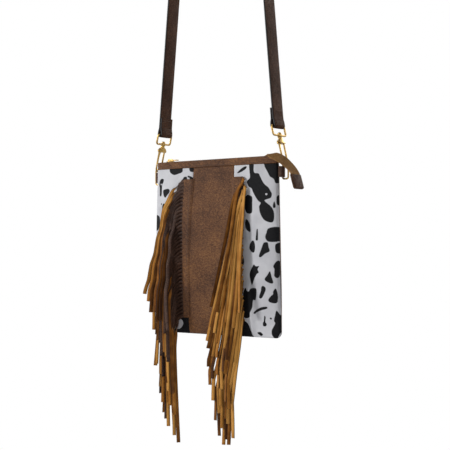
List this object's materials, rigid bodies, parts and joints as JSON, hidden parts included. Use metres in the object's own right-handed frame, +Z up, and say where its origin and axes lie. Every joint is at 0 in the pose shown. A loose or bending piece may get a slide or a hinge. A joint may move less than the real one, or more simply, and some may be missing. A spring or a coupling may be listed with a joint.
{
  "type": "fringed crossbody bag",
  "caption": "Flat crossbody pouch with a spotted front, a brown leather centre, two long leather fringes, a top zipper and a long strap on swivel snap hooks.",
  "frame": {"origin": "underside of the strap at the top of its arch, where the bag hangs", "axes": "+Z up along the hanging bag, +X to the right along the pouch, -Y out of its fringed front"},
  "size_m": [0.2687, 0.0573, 0.9951],
  "materials": {
    "spotted_fabric": "white with black spots, short nap",
    "brown_leather": "mottled grain",
    "fringe_grain": "smooth brown grain side, mustard suede inside",
    "fringe_suede": "mustard suede side",
    "strap_leather": "dark brown with painted black edges",
    "zipper_tape": "woven tape",
    "gold_metal": "polished light gold"
  },
  "bodies": {
    "bag": {"strap": "strap_leather", "left_front_panel": "spotted_fabric", "centre_panel": "brown_leather", "right_front_panel": "spotted_fabric", "back_panel": "brown_leather", "front_top_band": "brown_leather", "back_top_band": "brown_leather", "front_zipper_tape": "zipper_tape", "back_zipper_tape": "zipper_tape", "front_zipper_teeth": "gold_metal", "back_zipper_teeth": "gold_metal", "zipper_end_stop": "gold_metal", "zipper_tail": "zipper_tape", "zipper_tail_end": "strap_leather", "left_side_tab": "brown_leather", "right_side_tab": "brown_leather", "left_fringe": "fringe_grain", "right_fringe": "fringe_suede"},
    "slider": {"zipper_slider": "gold_metal", "zipper_slider_base": "gold_metal"},
    "puller": {"zipper_puller": "gold_metal"},
    "left_loop_body": {"left_loop": "gold_metal"},
    "left_hook_body": {"left_hook": "gold_metal", "left_gate_pin": "gold_metal"},
    "left_gate_body": {"left_gate": "gold_metal"},
    "left_d_ring_body": {"left_d_ring": "gold_metal"},
    "right_loop_body": {"right_loop": "gold_metal"},
    "right_hook_body": {"right_hook": "gold_metal", "right_gate_pin": "gold_metal"},
    "right_gate_body": {"right_gate": "gold_metal"},
    "right_d_ring_body": {"right_d_ring": "gold_metal"}
  },
  "joints": [
    {"name": "zipper_slide", "type": "slide", "parent": "bag", "child": "slider", "axis": [1, 0, 0], "range_m": [0, 0.14]},
    {"name": "puller_hinge", "type": "hinge", "parent": "slider", "child": "puller", "pos_m": [-0.086, -0.007, -0.58], "axis": [0, -1, 0], "range_deg": [0, 170]},
    {"name": "left_loop_hinge", "type": "hinge", "parent": "bag", "child": "left_loop_body", "pos_m": [-0.10276, 0, -0.54038], "axis": [0, 1, 0], "range_deg": [-1, 1]},
    {"name": "left_hook_swivel", "type": "hinge", "parent": "left_loop_body", "child": "left_hook_body", "pos_m": [-0.10627, 0, -0.55445], "axis": [0.2419, 0, 0.9703], "range_deg": [-15, 15]},
    {"name": "left_gate_hinge", "type": "hinge", "parent": "left_hook_body", "child": "left_gate_body", "pos_m": [-0.10845, -0.0034, -0.56318], "axis": [0.9703, 0, -0.2419], "range_deg": [0, 18], "stiffness_Nm_per_rad": 0.02, "springref_deg": -11.46},
    {"name": "left_d_ring_hinge", "type": "hinge", "parent": "bag", "child": "left_d_ring_body", "pos_m": [-0.11149, 0, -0.60452], "axis": [0, 0, 1], "range_deg": [-8, 8]},
    {"name": "right_loop_hinge", "type": "hinge", "parent": "bag", "child": "right_loop_body", "pos_m": [0.10276, 0, -0.54038], "axis": [0, 1, 0], "range_deg": [-1, 1]},
    {"name": "right_hook_swivel", "type": "hinge", "parent": "right_loop_body", "child": "right_hook_body", "pos_m": [0.10627, 0, -0.55445], "axis": [-0.2419, 0, 0.9703], "range_deg": [-15, 15]},
    {"name": "right_gate_hinge", "type": "hinge", "parent": "right_hook_body", "child": "right_gate_body", "pos_m": [0.10845, -0.0034, -0.56318], "axis": [0.9703, 0, 0.2419], "range_deg": [0, 18], "stiffness_Nm_per_rad": 0.02, "springref_deg": -11.46},
    {"name": "right_d_ring_hinge", "type": "hinge", "parent": "bag", "child": "right_d_ring_body", "pos_m": [0.11149, 0, -0.60452], "axis": [0, 0, 1], "range_deg": [-8, 8]}
  ]
}
